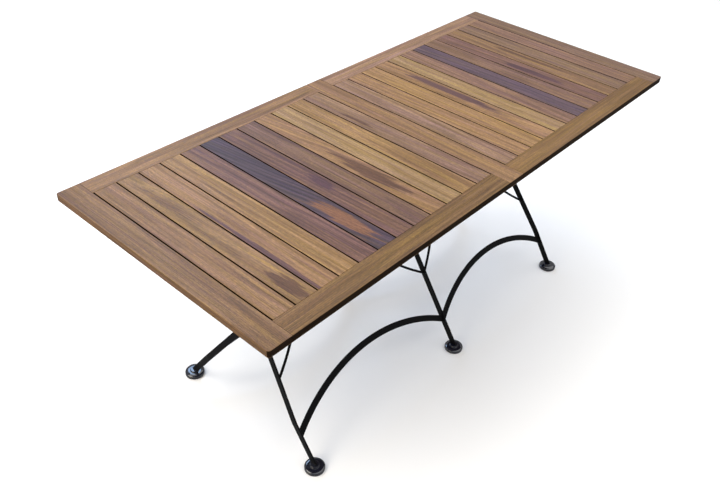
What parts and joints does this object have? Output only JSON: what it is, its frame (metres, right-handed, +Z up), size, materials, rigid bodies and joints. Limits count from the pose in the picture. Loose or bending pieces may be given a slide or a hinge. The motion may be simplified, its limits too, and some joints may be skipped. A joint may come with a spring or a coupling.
{
  "type": "folding table",
  "caption": "Rectangular slatted wooden table on two crossed steel leg frames that close while the top tips up.",
  "frame": {"origin": "on the floor, under the middle of the tabletop", "axes": "+X along the table's length, +Y from the front long edge to the rear one, +Z up"},
  "size_m": [1.78, 0.762, 0.75],
  "materials": {
    "rail_wood": "oiled hardwood, golden brown",
    "slat_wood": "oiled hardwood, mixed golden and purple brown",
    "black_steel": "black powder coat, satin",
    "foot_plastic": "glossy black",
    "zinc": "zinc plated"
  },
  "bodies": {
    "front_frame": {"leg_front_left": "black_steel", "leg_front_middle": "black_steel", "leg_front_right": "black_steel", "foot_front_left": "foot_plastic", "foot_front_middle": "foot_plastic", "foot_front_right": "foot_plastic", "arch_front_left": "black_steel", "arch_front_right": "black_steel", "top_rail_front": "black_steel", "pivot_bolt_left": "zinc", "pivot_bolt_middle": "zinc", "pivot_bolt_right": "zinc", "pivot_spacer": "zinc"},
    "rear_frame": {"leg_rear_left": "black_steel", "leg_rear_middle": "black_steel", "leg_rear_right": "black_steel", "foot_rear_left": "foot_plastic", "foot_rear_middle": "foot_plastic", "foot_rear_right": "foot_plastic", "arch_rear_left": "black_steel", "arch_rear_right": "black_steel", "top_rail_rear": "black_steel"},
    "tabletop": {"slat_01": "slat_wood", "slat_02": "slat_wood", "slat_03": "slat_wood", "slat_04": "slat_wood", "slat_05": "slat_wood", "slat_06": "slat_wood", "slat_07": "slat_wood", "slat_08": "slat_wood", "slat_09": "slat_wood", "slat_10": "slat_wood", "slat_11": "slat_wood", "slat_12": "slat_wood", "slat_13": "slat_wood", "slat_14": "slat_wood", "slat_15": "slat_wood", "slat_16": "slat_wood", "slat_17": "slat_wood", "slat_18": "slat_wood", "slat_19": "slat_wood", "slat_20": "slat_wood", "slat_21": "slat_wood", "slat_22": "slat_wood", "slat_23": "slat_wood", "slat_24": "slat_wood", "end_rail_left": "rail_wood", "centre_rail": "rail_wood", "end_rail_right": "rail_wood", "long_rail_front_left": "rail_wood", "long_rail_front_right": "rail_wood", "long_rail_rear_left": "rail_wood", "long_rail_rear_right": "rail_wood", "hinge_bracket_left": "black_steel", "hinge_bracket_middle": "black_steel", "hinge_bracket_right": "black_steel", "hook_bracket_left": "black_steel", "hook_bracket_middle": "black_steel", "hook_bracket_right": "black_steel"}
  },
  "joints": [
    {"name": "leg_scissor", "type": "hinge", "parent": "front_frame", "child": "rear_frame", "pos_m": [0, 0, 0.39003], "axis": [-1, 0, 0], "range_deg": [0, 62]},
    {"name": "top_tilt", "type": "hinge", "parent": "front_frame", "child": "tabletop", "pos_m": [0, 0.22684, 0.714], "axis": [-1, 0, 0], "range_deg": [0, 125]}
  ],
  "couplings": [
    {"joint": "top_tilt", "follows": "leg_scissor", "ratio": 2.0161}
  ]
}
